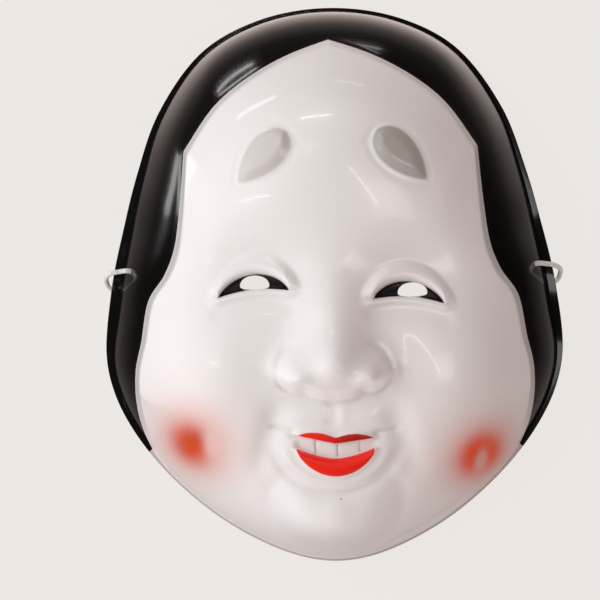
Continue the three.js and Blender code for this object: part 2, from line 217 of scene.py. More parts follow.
def plan(turn):
    """Radii of the rim, of the dome's foot and of the face's edge at a turn. The foot is
    the rim less a flange that is widest at the sides and loses some of that low down on the
    hair. Below the hair it is thin, and the face runs on to the foot."""
    rim = np.interp(turn, rim_turns, rim_radii)
    below_hair = ramp(turn, hair_tip_turn - 0.05, hair_tip_turn + 0.15)
    low_down = ramp(np.degrees(turn), *flange_loss["low_turns"])
    end = np.where(turn < math.pi / 2, flange["top"], flange["chin"])
    side = np.sin(turn) ** 2 * (1 - flange_loss["low"] * low_down)
    side = side * (1 - flange_loss["below_hair"] * below_hair)
    foot = rim - (end + (flange["side"] - end) * side)
    hair_edge = np.minimum(np.interp(turn, hair_turns, hair_radii), foot - chin_margin)
    return rim, foot, hair_edge + below_hair * (foot - chin_margin - hair_edge)


even_turns = math.pi * (np.arange(90) + 0.5) / 90
waves = np.arange(4)
wave_terms = np.array([np.mean(plan(even_turns)[1] * np.cos(wave * even_turns)) for wave in waves])
wave_terms[1:] *= 2


def dome(x, y):
    """Height of the plain dome: one less the cube of the radius share, to the power 0.8,
    times its height. The share is taken of the true foot near the rim and of a rounder
    outline, made of four cosine waves, towards the crest."""
    turn, radius = turn_and_radius(x, y)
    foot = plan(turn)[1]
    rounder = sum(term * np.cos(wave * turn) for wave, term in enumerate(wave_terms))
    reach = rounder + (foot - rounder) * ramp(radius / foot, 0.3, 1)
    lift = rim_lift(x, y)
    return wall + lift + (dome_height - lift) * (1 - np.minimum(1, radius / reach) ** 3) ** 0.8


print("crest of the plain dome", round(float(dome(0.0, crest_y)), 1), "mm")

# %% [markdown]
# ## The broad forms of the face
# The mask's full cheeks, its high forehead, the chin and the wide nose are soft hills on the
# dome. Places and reaches are shares of half the mask's width and height, and rises are
# shares of the dome's height. The nose is cut off below by a steep ramp, higher at the
# wings, and two shallow grooves run from the wings of the nose past the mouth.

# %% Broad forms
broad_forms = [
    ((0, 0.47), (0.55, 0.33), 0.17),
    ((-0.52, -0.33), (0.3, 0.25), 0.14),
    ((0.52, -0.36), (0.3, 0.25), 0.14),
    ((0, -0.83), (0.27, 0.13), 0.22),
    ((0, -0.54), (0.26, 0.16), 0.07),
    ((-0.31, 0.07), (0.2, 0.11), -0.08),
    ((0.31, 0.04), (0.2, 0.11), -0.08),
]
nose_forms = [
    ((0, -0.12), (0.125, 0.15), 0.13),
    ((0, -0.265), (0.14, 0.1), 0.27),
    ((-0.15, -0.3), (0.07, 0.065), 0.17),
    ((0.15, -0.3), (0.07, 0.065), 0.17),
]
nose_base = {"foot": -0.39, "edge": -0.325, "rise": 1.25, "arches": (0.115, 0.035, 0.013)}
smile_fold = {"line": 0.233, "spread": 0.065, "bends": (-0.38, -0.62), "reach": 0.055,
              "depth": 0.04, "ends": ((-0.72, -0.5), (-0.34, -0.44))}


def hills(across, up, forms):
    """The sum of hills, each given by its place, its reach each way and its rise."""
    return sum(rise * hill(across, up, place, reach) for place, reach, rise in forms)


def broad_face(x, y):
    """Height of the broad forms in mm: the sum of the hills, less the fold of the smile."""
    across, up = x / half_width, y / half_height
    line = smile_fold["line"] + smile_fold["spread"] * ramp(up, *smile_fold["bends"])
    fold = sum(ridge(side * across - line, smile_fold["reach"]) for side in (1, -1))
    fold = fold * window(up, *smile_fold["ends"])
    below = up - nose_base["rise"] * across**2 - band(np.abs(across), *nose_base["arches"])
    nose = ramp(below, nose_base["foot"], nose_base["edge"]) * hills(across, up, nose_forms)
    return dome_height * (hills(across, up, broad_forms) + nose - smile_fold["depth"] * fold)


# %% [markdown]
# ## The eyes
# Each eye is a crescent between two arcs, painted black and sunk below the lids. The upper
# lid is a broad swelling that wraps round both corners. The lower lid is a thin bright
# ridge. The pupil is cut right through, a round arch with a flatter foot, so that the wearer
# can see out. The right eye sits a little lower than the left one, as moulded.

# %% Eyes
eyes = [
    {"side": -1, "middle": -27.4, "base": -2.7, "pupil": (-27.2, 0.4)},
    {"side": 1, "middle": 26.3, "base": -6.1, "pupil": (27.8, -3.0)},
]
eye_half = 12.4
eye_lean = 1.05
upper_bow = 6.9
lower_bow = 1.6
lid_half = 17.2
lid_bow = 14.6
lid_rise = 3.0
slit_depth = 1.5
slit_edge = (-0.4, 0.9)
slit_end = (0.93, 1.04)
lid_end = (1.0, 1.4)
lower_lid = (-1.3, 1.15, 1.1)
eye_hollow = (-5.4, 3.0, -0.6)


def eye_arcs(x, eye):
    """Along the eye from -1 at the nose to 1 at the temple, with the heights of the base
    line and of the slit's two arcs: the base plus a bow times a power of one less the
    square of the place."""
    along = eye["side"] * (x - eye["middle"]) / eye_half
    base = eye["base"] - eye_lean * along
    bow = np.maximum(0, 1 - along**2)
    return along, base, base + upper_bow * bow**0.75, base + lower_bow * bow


def eye_relief(x, y, eye):
    """The upper lid is a swelling between the slit and a wider arc: the share of the way up
    to the power 0.7, times one less it to the power 1.4, times 3.8, which brings its top to
    1. The slit sinks between its arcs, and the lower lid and the hollow under it follow the
    lower arc."""
    along, base, upper, lower = eye_arcs(x, eye)
    wide = np.maximum(0, 1 - (along * eye_half / lid_half) ** 2)
    top = base + lid_bow * wide**0.7
    share = np.clip((y - upper) / np.maximum(top - upper, 0.5), 0, 1)
    lid = lid_rise * 3.8 * share**0.7 * (1 - share) ** 1.4 * ramp(wide, 0, 0.6)
    slit = slit_depth * ramp(np.minimum(upper - y, y - lower), *slit_edge)
    slit = slit * (1 - ramp(np.abs(along), *slit_end))
    ends = 1 - ramp(np.abs(along), *lid_end)
    return lid - slit + ends * (band(y - lower, *lower_lid) + band(y - lower, *eye_hollow))


# %% [markdown]
# ## The painted eyebrows
# Two soft drops stand high on the forehead, with the round end inwards and up. They are
# raised pads with a faint groove round them, in a pale grey, with painted shade that makes
# the right one darker.

# %% Eyebrows
brows = [{"side": -1, "tip": (-32.3, 35.8)}, {"side": 1, "tip": (33.4, 35.7)}]
brow_length = 24.6
brow_half = 6.9
brow_angle = math.radians(45.5)
brow_powers = (0.82, 0.48)
brow_rise = 2.4
brow_slope = (-0.6, 4.6)
brow_groove = (-1.3, 0.8, -0.25)


def brow_distance(x, y, brow):
    """Distance in mm inside a drop. Its half width is the share from the tip to a power
    times the share left to another power, and what is left or lacking beside that is
    divided by the length of the outline's slope."""
    across = brow["side"] * (brow["tip"][0] - x)
    up = y - brow["tip"][1]
    along = across * math.cos(brow_angle) + up * math.sin(brow_angle)
    beside = np.abs(up * math.cos(brow_angle) - across * math.sin(brow_angle))
    share = np.clip(along / brow_length, 0.01, 0.99)
    tip, head = brow_powers
    widest = tip / (tip + head)
    half = brow_half * (share / widest) ** tip * ((1 - share) / (1 - widest)) ** head
    slope = half * (tip / share - head / (1 - share)) / brow_length
    past = np.abs(along - share * brow_length)
    return (half - beside) / np.hypot(1, slope) - past


def brow_relief(x, y, brow):
    """A pad that rises over the distance inside the drop, and a faint groove round it."""
    inside = brow_distance(x, y, brow)
    return brow_rise * ramp(inside, *brow_slope) + band(inside, *brow_groove)


# %% [markdown]
# ## The mouth
# The lips smile round a row of four teeth. The upper lip has a bow with two peaks, the lower
# lip hangs full below the teeth. Each edge is a height over the place along the mouth, and a
# lip is the swelling between its two edges.

# %% Mouth
mouth_middle = 0.2
mouth_half = 13.7
tooth_gaps = (-7.0, 0.6, 8.2)
tooth_foot_rise = 0.75
lips = {"upper": -52.35, "lower": -56.5, "lean": 0.6, "dip": 0.45, "peaks": 1.45,
        "upper_sag": 2.5, "lower_sag": 3.7, "hang": 10.1}


def mouth_edges(x):
    """Heights of the upper lip's top and foot, the teeth's foot and the lower lip's top
    and foot. Each is the height of the lip's corners, less a power of what is left of the
    way out to them. The upper lip's two peaks are four times the way times what is left."""
    along = np.clip((x - mouth_middle) / mouth_half, -1, 1)
    out = np.sqrt(along**2 + 0.0025)
    corner = lips["upper"] - lips["lean"] * along
    upper_top = corner - lips["dip"] * (1 - out) ** 2 + lips["peaks"] * 4 * out * (1 - out)
    upper_foot = corner - lips["upper_sag"] * (1 - out)
    lower_top = lips["lower"] - lips["lower_sag"] * (1 - out**1.6)
    lower_foot = lips["lower"] - lips["hang"] * np.maximum(0, 1 - along**2) ** 0.7
    return upper_top, upper_foot, lower_top + tooth_foot_rise, lower_top, lower_foot


def swelling(y, low, high):
    """A dome of height 1 between two edges, zero outside them: a sine to the power 0.8."""
    share = np.clip((y - low) / np.maximum(high - low, 0.3), 0, 1)
    return np.sin(math.pi * share) ** 0.8


mouth_roll = {"middle": (0.2, -53.0), "half": (21.0, 18.9), "roll": (0.88, 0.08, 0.9),
              "groove": (1.07, 0.11, -1.5), "below": (-54.0, -62.0)}
chin_ball = {"middle": (0.0, -79.0), "half": (24.0, 23.0), "rise": 1.4, "spread": 0.7,
             "groove": (1.0, 0.14, -1.0), "beside": (4.0, 16.0), "below": (-62.0, -72.0)}


def oval_share(x, y, oval):
    """Distance from an oval's middle as a share of its half sizes, so 1 on the oval."""
    across, up = oval["middle"]
    half_across, half_up = oval["half"]
    return np.hypot((x - across) / half_across, (y - up) / half_up)


def round_mouth(x, y):
    """A roll of skin follows the lower lip, with a groove below it."""
    place = oval_share(x, y, mouth_roll)
    relief = band(place, *mouth_roll["roll"]) + band(place, *mouth_roll["groove"])
    return relief * ramp(y, *mouth_roll["below"])


def round_chin(x, y):
    """The chin is a low ball, e to the minus fourth power of the distance, with a soft
    groove round its sides."""
    place = oval_share(x, y, chin_ball)
    ball = chin_ball["rise"] * np.exp(-((place / chin_ball["spread"]) ** 4))
    relief = ball + band(place, *chin_ball["groove"])
    return relief * ramp(np.abs(x), *chin_ball["beside"]) * ramp(y, *chin_ball["below"])


lip_rise = {"upper": 1.5, "lower": 2.7}
mouth_gap = {"depth": 1.9, "edge": (-0.5, 0.8), "ends": (0.9, 1.12)}
teeth = {"rise": 0.5, "notch": 0.9, "notch_reach": 0.45}


def mouth_relief(x, y):
    """The lips and the teeth are swellings that reach a little past their edges, and the
    gap between the lips is sunk."""
    upper_top, upper_foot, tooth_foot, lower_top, lower_foot = mouth_edges(x)
    upper = lip_rise["upper"] * swelling(y, upper_foot - 0.4, upper_top + 1.2)
    lower = lip_rise["lower"] * swelling(y, lower_foot - 1.2, lower_top)
    inside = np.minimum(upper_foot - y, y - lower_top)
    gap = mouth_gap["depth"] * ramp(inside, *mouth_gap["edge"])
    tooth = teeth["rise"] * swelling(y, tooth_foot - 0.6, upper_foot + 1.5)
    notches = sum(ridge(x - place, teeth["notch_reach"]) for place in tooth_gaps)
    relief = upper - gap + tooth * (1 - teeth["notch"] * notches) + lower
    ends = 1 - ramp(np.abs(x - mouth_middle) / mouth_half, *mouth_gap["ends"])
    return ends * relief


# %% [markdown]
# ## The nose and the dimples
# Pairs of small hills and dents make the nostrils, the full upper lip, the corners of the
# mouth and the dimples, in this order. A crease on each side sets the wings of the nose off
# from the cheeks, and a shallow groove runs down to the upper lip.

# %% Nose and dimples
dents_and_swells = [
    ((-9.6, -35.0), (2.6, 1.7), -1.7), ((9.2, -36.0), (2.6, 1.7), -1.7),
    ((-9.5, -45.5), (8.0, 3.6), 0.9), ((9.5, -45.5), (8.0, 3.6), 0.9),
    ((-14.6, -52.0), (1.8, 1.5), -0.9), ((14.8, -53.2), (1.8, 1.5), -0.9),
    ((-48.2, -56.0), (3.8, 4.6), -2.1), ((54.2, -63.6), (3.2, 4.4), -1.5),
]
nose_wing = {"middle": (11.8, -29.6), "half": (7.6, 8.8), "crease": (1, 0.17, 1.3),
             "outer": (9.0, 15.5), "foot": (-40.0, -36.0)}
lip_grooves = [(-0.9, 2.0, 0.6), (3.1, 1.6, -0.35), (-4.9, 1.8, -0.2)]
lip_groove_ends = ((-50.5, -45.5), (-39.0, -42.5))
smile_corners = [(-1, -49.0), (1, -49.7)]
smile_crease = {"depth": 1.25, "reach": 0.9, "hook": 0.055, "outer": 22,
                "ends": ((12.5, 15.5), (24.0, 20.5))}
chin_fold = {"band": (3.4, 1.8, 0.9), "turns": ((130, 146), (174, 162)), "right_of": (4, 16)}


def nose_relief(x, y):
    """The creases round the nose's wings, and the groove down to the upper lip."""
    out = np.abs(x)
    wings = band(oval_share(out, y, nose_wing), *nose_wing["crease"])
    wings = wings * ramp(out, *nose_wing["outer"]) * ramp(y, *nose_wing["foot"])
    groove = window(y, *lip_groove_ends) * sum(band(x, *values) for values in lip_grooves)
    return -wings - groove


def crease_relief(x, y):
    """The smile's crease hooks in from the cheek fold to each corner of the mouth: its line
    falls with the way in from the fold to the power 1.5."""
    total = 0
    for side, height in smile_corners:
        way_in = np.maximum(0, smile_crease["outer"] - side * x)
        line = height - smile_crease["hook"] * way_in**1.5
        crease = smile_crease["depth"] * ridge(y - line, smile_crease["reach"])
        total = total - crease * window(side * x, *smile_crease["ends"])
    return total


def small_forms(x, y):
    """Everything finer than the broad forms, in mm."""
    total = mouth_relief(x, y) + round_mouth(x, y) + round_chin(x, y)
    total = total + nose_relief(x, y) + crease_relief(x, y)
    total = total + sum(eye_relief(x, y, eye) for eye in eyes)
    total = total + sum(brow_relief(x, y, brow) for brow in brows)
    return total + hills(x, y, dents_and_swells)


def fold_by_chin(x, turn, foot, radius):
    """A thin fold a little inside the dome's foot, between chin and right cheek."""
    along = window(np.degrees(turn), *chin_fold["turns"]) * ramp(x, *chin_fold["right_of"])
    return band(foot - radius, *chin_fold["band"]) * along


def skin(x, y, with_small_forms):
    """Height of the outer skin: the dome, the step that lifts the face above the hair, and
    the face's forms. They fade out towards the face's edge, with the parting rounded off."""
    turn, radius = turn_and_radius(x, y)
    _, foot, face = plan(turn)
    hair_width = ramp(foot - face, chin_margin, chin_margin + hair_taper)
    run = chin_run + (step_run - chin_run) * hair_width
    forms = broad_face(x, y)
    form_edge = plan(np.hypot(turn, parting_round))[2]
    if with_small_forms:
        forms = forms + small_forms(x, y)
    step = hair_step * ramp(radius, face, face - run) - fold_by_chin(x, turn, foot, radius)
    inwards = np.clip((form_edge - radius) / form_fade, 0, 1)
    return dome(x, y) + step + forms * np.sin(math.pi / 2 * inwards)


def skin_normal(x, y):
    """Outward direction of the smooth skin, from its slopes over a short way."""
    nudge = 0.4
    slope_x = (skin(x + nudge, y, False) - skin(x - nudge, y, False)) / (2 * nudge)
    slope_y = (skin(x, y + nudge, False) - skin(x, y - nudge, False)) / (2 * nudge)
    normal = np.stack([-slope_x, -slope_y, np.ones_like(slope_x)], axis=-1)
    return normal / np.linalg.norm(normal, axis=-1, keepdims=True)


print("nose tip", round(float(skin(0.0, -0.265 * half_height, True)), 1), "mm high")

# %% [markdown]
# ## The elastic
# The real elastic is rubber in a braided white cover, about 1.8 mm thick. It comes out of a
# hole at each temple, goes round the edge of the rim, under a shallow arch, and lies in
# loose curves on the table inside the hollow. It is a tube along one smooth curve. The cover
# is braided from strands that run both ways round, and their relief is a small wave on the
# tube's radius.

# %% Elastic route
cord_diameter = 1.8
cord_relief = 0.035
strand_count = 8
strand_pitch = 4.2
hole_inset = 12.2
hole_x = half_width - hole_inset
hole_y = 6.6
knot_seat = 0.3
knot_gap = 0.32
straight_run = 1.6
route_inside = [
    (-0.076, -0.0066, 0.001), (-0.062, -0.018, 0.00095), (-0.042, -0.025, 0.00095),
    (-0.02, -0.017, 0.00095), (-0.002, 0.002, 0.00095), (0.016, 0.022, 0.00095),
    (0.036, 0.031, 0.00095), (0.054, 0.022, 0.00095), (0.066, 0.006, 0.00095),
    (0.076, -0.005, 0.001),
]
route_outside = [
    (0.0802, 0.0066, 0.0156), (0.083, 0.0062, 0.0152), (0.0855, 0.0053, 0.0129),
    (0.0869, 0.0041, 0.0096), (0.0873, 0.0026, 0.0062), (0.0868, 0.0006, 0.0031),
    (0.0842, -0.0016, 0.0012),
]
hole_out = skin_normal(np.array(hole_x), np.array(hole_y))
hole_middle = np.array([hole_x, hole_y, skin(hole_x, hole_y, False)]) - hole_out * wall / 2
right_start = [
    (hole_middle + hole_out * (knot_gap - knot_seat - wall / 2)) * millimetre,
    (hole_middle + hole_out * straight_run) * millimetre,
]
right_part = np.array([*right_start, *route_outside])
route = np.vstack([right_part * [-1, 1, 1], route_inside, right_part[::-1]])
path = smooth_line(route, 1300)
cord_steps = np.linalg.norm(np.diff(path, axis=0), axis=1)
cord_length = float(cord_steps.sum())
print("the elastic is", round(cord_length * 1000, 1), "mm long through", len(route), "points")

# %% Tubes


def mesh_object(name, points, faces):
    """A smooth object with its points in place, linked to the scene."""
    mesh = bpy.data.meshes.new(name)
    mesh.from_pydata(np.asarray(points).tolist(), [], faces)
    mesh.validate()
    mesh.shade_smooth()
    piece = bpy.data.objects.new(name, mesh)
    bpy.context.scene.collection.objects.link(piece)
    return piece


def tube(name, line, radius, sides, relief):
    """A closed tube along a line of points. Each ring lies across the line's direction, at
    the radius plus a relief. The relief is a braid: the higher of two waves that wind round
    the tube in opposite ways. The piece's own map holds the share round the tube and the
    length along it, in millimetres."""
    direction = np.gradient(line, axis=0)
    direction /= np.linalg.norm(direction, axis=1, keepdims=True)
    side = np.cross(direction, (0, 1, 0))
    side /= np.linalg.norm(side, axis=1, keepdims=True)
    other = np.cross(side, direction)
    length = np.append(0, np.cumsum(np.linalg.norm(np.diff(line, axis=0), axis=1))) / millimetre
    share = np.arange(sides) / sides
    one_way, other_way = (
        np.cos(2 * math.pi * (strand_count * share + sign * length[:, None] / strand_pitch))
        for sign in (1, -1)
    )
    radii = radius + relief * np.maximum(one_way, other_way)
    angle = 2 * math.pi * share[None, :, None]
    rings = np.cos(angle) * side[:, None, :] + np.sin(angle) * other[:, None, :]
    points = (line[:, None, :] + radii[:, :, None] * rings).reshape(-1, 3)
    ring = np.arange(len(line) - 1)[:, None, None] + [0, 1, 1, 0]
    corner = np.arange(sides)[None, :, None] + [0, 0, 1, 1]
    quads = (ring * sides + corner % sides).reshape(-1, 4)
    last = (len(line) - 1) * sides
    caps = [list(range(sides))[::-1], list(range(last, last + sides))]
    piece = mesh_object(name, points, quads.tolist() + caps)
    quads_uv = np.stack(np.broadcast_arrays(corner / sides, length[ring]), axis=-1).ravel()
    caps_uv = np.zeros(2 * 2 * sides)
    piece.data.uv_layers.new(name="braid").data.foreach_set("uv", np.append(quads_uv, caps_uv))
    return piece


cord = tube("elastic_cord_braided", path, cord_diameter / 2 * millimetre, 32,
            cord_relief * millimetre)
print("elastic:", len(cord.data.polygons), "faces")

# %% [markdown]
# ## The knots
# Each end of the elastic is tied in a single overhand knot inside the mask, too thick to
# pull through the hole. The line of a knot winds twice round a ring while it goes three
# times round the ring's body. It is cut open where it passes the middle: one end goes
# straight up to the hole, and the other leaves as a short tail.

# %% Knots
knot_ring = 1.5
knot_body = 0.85
knot_strand = 0.76
knot_depth = 3.3
tail_length = 2.6
knot_relief = 0.03
knot_tilt = 1e-7


def across_axes(out):
    """Two directions across a third one and each other."""
    across = np.cross((0, 1, 0), out)
    across /= np.linalg.norm(across)
    return across, np.cross(out, across)


def knot_line(side):
    """Ring radius plus the body radius times the cosine of three turns, at an angle of two
    turns, and as high as the body radius times their sine. A tilt too small to see keeps
    the line from running straight along Y, where a tube's rings would turn over."""
    turn = np.linspace(math.pi, 3 * math.pi - 1.57, 26)
    radius = knot_ring + knot_body * np.cos(3 * turn)
    rise = knot_body * np.sin(3 * turn)
    loop = np.stack([radius * np.cos(2 * turn), radius * np.sin(2 * turn), rise], axis=-1)
    tail = loop[-1] - loop[-2]
    tail = loop[-1] + tail / np.linalg.norm(tail) * tail_length
    top = knot_depth - wall / 2 - knot_seat
    local = np.vstack([(0, 0, top), (0, 0, 0.65 * top), (0.45, -0.35, 0.75), loop, tail])
    out = hole_out * [side, 1, 1]
    middle = hole_middle * [side, 1, 1] - out * knot_depth
    base = np.stack([*across_axes(out), out])
    line = smooth_line((middle + local @ base) * millimetre, 220)
    line[:, 0] += knot_tilt * np.arange(len(line))
    return line


knots = [
    tube(name, knot_line(side), knot_strand * millimetre, 20, knot_relief * millimetre)
    for side, name in ((-1, "knot_left_tied"), (1, "knot_right_tied"))
]
print("knots:", [len(knot.data.polygons) for knot in knots], "faces")

# %% [markdown]
# ## The shell
# The sheet is closed: an outer skin, an inner surface one wall below it, and a flat flange
# between them round the rim. The face is a grid of level rows from its left to its right
# edge, closer together at the eyes and the mouth. Rings run on from its edge over the step,
# the hair and the flange, round the rim and back up inside.

# %% Rows and rings
row_count = 240
outer_columns = 200
inner_columns = 56
close_rows = [(-1, 11, 2.0), (-57, 12, 2.4), (-34, 10, 1.0), (46, 15, 0.7)]
step_shares = np.array([1.1, 0.9, 0.75, 0.6, 0.45, 0.3, 0.15, 0])
hair_shares = 1 - (1 - np.linspace(0, 1, 17)[1:-1]) ** 1.7
inner_hair_shares = np.array([0.9, 0.7, 0.5, 0.25, 0])
rim_round = (0.075, 0.3)
foot_fillet = 0.8
fillet_turns = np.radians([0, 22.5, 45, 67.5, 90])
fillet_start = 0.2
last_ring_gap = 0.15
look_aside = 3


def around(turn, radius):
    """Places at turns and radii from the crest, with the turn below zero on the left."""
    return radius * np.sin(turn), crest_y + radius * np.cos(turn)


def row_turns():
    """Turns of the rows' right ends: even steps of the edge's length times a density that
    is higher where the face has more to show."""
    turn = np.linspace(0, math.pi, 6001)
    x, y = around(turn, plan(turn)[2] - step_run * step_shares[0])
    density = 1 + sum(extra * ridge(y - place, reach) for place, reach, extra in close_rows)
    walked = np.append(0, np.cumsum(np.hypot(np.diff(x), np.diff(y)) * density[1:]))
    return np.interp(np.linspace(0, walked[-1], row_count + 2)[1:-1], walked, turn)


def under_skin(x, y):
    """The inner surface: the lowest height of the skin a little to each side, with and
    without the small forms, moved one wall inwards along the smooth normal."""
    across, up = x / half_width, y / half_height
    near = [hill(x, y, (eye["middle"], eye["base"] + 2), (20, 10)) for eye in eyes]
    near.append(hill(across, up, (0, -0.38), (0.4, 0.25)))
    reach = look_aside * np.max(near, axis=0)
    heights = [skin(x + shift * reach, y, small) for shift in (-1, 0, 1) for small in (True, False)]
    return np.stack([x, y, np.min(heights, axis=0)], axis=-1) - wall * skin_normal(x, y)


def edge_rings(turn):
    """All rings outside the face at the given turns: step, hair, flange, rim and inside."""
    size = np.abs(turn)
    rim, foot, face = (radius[:, None] for radius in plan(size))
    turn = turn[:, None]
    last_ring = foot - fillet_start - last_ring_gap
    over = np.hstack([face - step_run * step_shares, face + (last_ring - face) * hair_shares])
    x, y = around(turn, over)
    outside = np.stack([x, y, skin(x, y, True)], axis=-1)
    lift = rim_lift(*around(turn, foot))
    fillet = foot - fillet_start + foot_fillet * (1 - np.cos(fillet_turns))
    small, large = rim_round
    flat = np.hstack([fillet, rim - large, rim - small, rim, rim, rim - small, foot - wall])
    rise = foot_fillet * (1 - np.sin(fillet_turns))
    upper = wall + lift - np.array([0, small, large])
    high = np.hstack([wall + lift + rise, upper, lift + small, lift, lift])
    x, y = around(turn, flat)
    edge = np.stack([x, y, high], axis=-1)
    back_up = np.hstack([face + (foot - face) * inner_hair_shares, face - step_run * step_shares[0]])
    return np.concatenate([outside, edge, under_skin(*around(turn, back_up))], axis=1)


def quads_between(lines):
    """Faces between each line of point numbers and the next one."""
    corners = [lines[:-1, :-1], lines[1:, :-1], lines[1:, 1:], lines[:-1, 1:]]
    return np.stack(corners, axis=-1).reshape(-1, 4)


def fill_rows(right, ring_points, ring, columns, surface, first_point):
    """Points and faces between the left and right ends of the rows. Columns are evenly
    spread, and the top and bottom rows close on a single point."""
    count = len(right)
    share = np.linspace(-1, 1, columns + 1)[1:-1]
    end_x, end_y = around(right, plan(right)[2] - step_run * step_shares[0])
    x = share[None, :] * end_x[:, None]
    y = np.broadcast_to(end_y[:, None], x.shape)
    points = surface(x, y).reshape(-1, 3)
    inner = first_point + np.arange(len(points)).reshape(x.shape)
    rings = ring_points.shape[1]
    left_ends = (2 * count + 1 - np.arange(count)) * rings + ring
    right_ends = (np.arange(count) + 1) * rings + ring
    lines = np.hstack([left_ends[:, None], inner, right_ends[:, None]])
    top, bottom = ring, (count + 1) * rings + ring
    top_fan = np.stack([np.full(columns, top), lines[0, :-1], lines[0, 1:]], axis=-1)
    low_fan = np.stack([lines[-1, :-1], np.full(columns, bottom), lines[-1, 1:]], axis=-1)
    return points, quads_between(lines), np.vstack([top_fan, low_fan])


def outer_surface(x, y):
    """Points of the outer skin, with all its forms."""
    return np.stack([x, y, skin(x, y, True)], axis=-1)


def shell_mesh():
    """Rings outside the face, and rows that fill it on the outer and on the inner side."""
    right = row_turns()
    turns = np.concatenate([[0], right, [math.pi], -right[::-1]])
    ring_points = edge_rings(turns)
    count, rings = ring_points.shape[:2]
    numbers = np.arange(count * rings).reshape(count, rings)
    edge_quads = quads_between(np.vstack([numbers, numbers[:1]]))
    outer, outer_quads, outer_fans = fill_rows(
        right, ring_points, 0, outer_columns, outer_surface, count * rings)
    inner, inner_quads, inner_fans = fill_rows(
        right, ring_points, rings - 1, inner_columns, under_skin, count * rings + len(outer))
    points = np.vstack([ring_points.reshape(-1, 3), outer, inner])
    quads = np.vstack([edge_quads, outer_quads, inner_quads[:, ::-1]])
    fans = np.vstack([outer_fans, inner_fans[:, ::-1]])
    return points * millimetre, quads.tolist() + fans.tolist()


blank = mesh_object("blank_shell", *shell_mesh())
print("uncut shell:", len(blank.data.vertices), "points,", len(blank.data.polygons), "faces")

# %% [markdown]
# ## Pupils and temple holes
# On the real mask these are punched through the finished sheet. Here a prism in the outline
# of each pupil and a rod along the wall's direction at each temple are cut out of the
# closed shell, and the result is kept as a plain mesh.

# %% Cut the holes
pupil_half = 5.2
pupil_above = 3.4
pupil_below = 1.5
pupil_foot_power = 0.55
cutter_heights = (30, 90)
hole_radius = cord_diameter / 2 + 0.6
rod_half = 4


def prism(name, outline, low, high):
    """A closed prism over a flat outline, from a low place to a high one."""
    count = len(outline)
    points = np.vstack([outline + low, outline + high])
    index = np.arange(count)
    ahead = (index + 1) % count
    sides = np.stack([index, ahead, ahead + count, index + count], axis=-1).tolist()
    caps = [list(range(count))[::-1], list(range(count, 2 * count))]
    return mesh_object(name, points * millimetre, sides + caps)


def pupil_outline():
    """Half an ellipse above, and below it a flatter arch: the sine to a power under one."""
    angle = np.linspace(0, 2 * math.pi, 72, endpoint=False)
    rise = np.where(np.sin(angle) > 0, pupil_above * np.sin(angle),
                    -pupil_below * np.abs(np.sin(angle)) ** pupil_foot_power)
    return np.stack([pupil_half * np.cos(angle), rise, np.zeros_like(angle)], axis=-1)


def hole_outline(out):
    """A circle across the wall's outward direction."""
    angle = np.linspace(0, 2 * math.pi, 40, endpoint=False)[:, None]
    across, other = across_axes(out)
    return hole_radius * (np.cos(angle) * across + np.sin(angle) * other)


cutters = []
for eye in eyes:
    low, high = ((*eye["pupil"], height) for height in cutter_heights)
    cutters.append(prism("pupil_cutter", pupil_outline(), low, high))
for side in (-1, 1):
    out = hole_out * [side, 1, 1]
    middle = hole_middle * [side, 1, 1]
    low, high = middle - rod_half * out, middle + rod_half * out
    cutters.append(prism("temple_cutter", hole_outline(out), low, high))
for cutter in cutters:
    cut = blank.modifiers.new("hole", "BOOLEAN")
    cut.operation = "DIFFERENCE"
    cut.solver = "EXACT"
    cut.object = cutter
finished_cut = blank.evaluated_get(bpy.context.evaluated_depsgraph_get())
cut_mesh = bpy.data.meshes.new_from_object(finished_cut)
cut_mesh.name = "mask_shell_moulded"
shell = bpy.data.objects.new("mask_shell_moulded", cut_mesh)
bpy.context.scene.collection.objects.link(shell)
for spare in (blank, *cutters):
    bpy.data.objects.remove(spare)
shell.data.shade_smooth()
shell.data.set_sharp_from_angle(angle=math.radians(50))
triangles = sum(len(face.vertices) - 2 for face in shell.data.polygons)
print("shell:", triangles, "triangles")

# %% [markdown]
# ## Paint as distances
# The real mask is sprayed through stencils and finished by brush. Each painted area is kept
# on the mesh as the distance inside its outline, in millimetres, measured where each point
# of the finished mesh lies. The material turns a distance into a sharp edge, so the paint is
# finer than the mesh. The blush is sprayed freely, so it is kept as a strength instead: a
# soft hill beside each dimple, less a pale spot in each dimple that is a painted highlight.

# %% Distances
shell_points = np.empty(len(shell.data.vertices) * 3, np.float32)
shell.data.vertices.foreach_get("co", shell_points)
shell_points = shell_points.reshape(-1, 3).astype(float) / millimetre
plan_x, plan_y, height = shell_points.T

# The first two hills are the sprayed blush, with the right one stronger as painted light. The two
# negative hills are pale spots in the dimples, painted highlights.
blush_spray_and_dimple_highlight = [
    ((-52.0, -56.6), (8.4, 8.6), 0.95), ((52.9, -62.7), (8.4, 8.6), 1.25),
    ((-44.6, -55.8), (2.9, 4.6), -0.5), ((53.3, -64.4), (2.9, 4.6), -1.3),
]
blush_halo = [((-52.0, -56.6), (15.5, 14.5), 1), ((52.9, -62.7), (15.5, 14.5), 1)]
speck_place = (1.6, -75.5)
speck_radius = 0.45
wall_shade = {"strength": 0.55, "turns": (-0.03, -0.16)}
upper_lip_foot = (-56.5, -55.0)


def store(name, values):
    """Keeps one number for each point of the shell under a name."""
    layer = shell.data.attributes.new(name, "FLOAT", "POINT")
    layer.data.foreach_set("value", np.asarray(values, np.float32))


def hair_distance(x, y):
    """Outside the hair's edge, less what lies past the tip of the hair on the cheek."""
    turn, radius = turn_and_radius(x, y)
    past_edge = radius - np.interp(turn, hair_turns, hair_radii)
    return np.minimum(past_edge, (hair_tip_turn - turn) * radius)


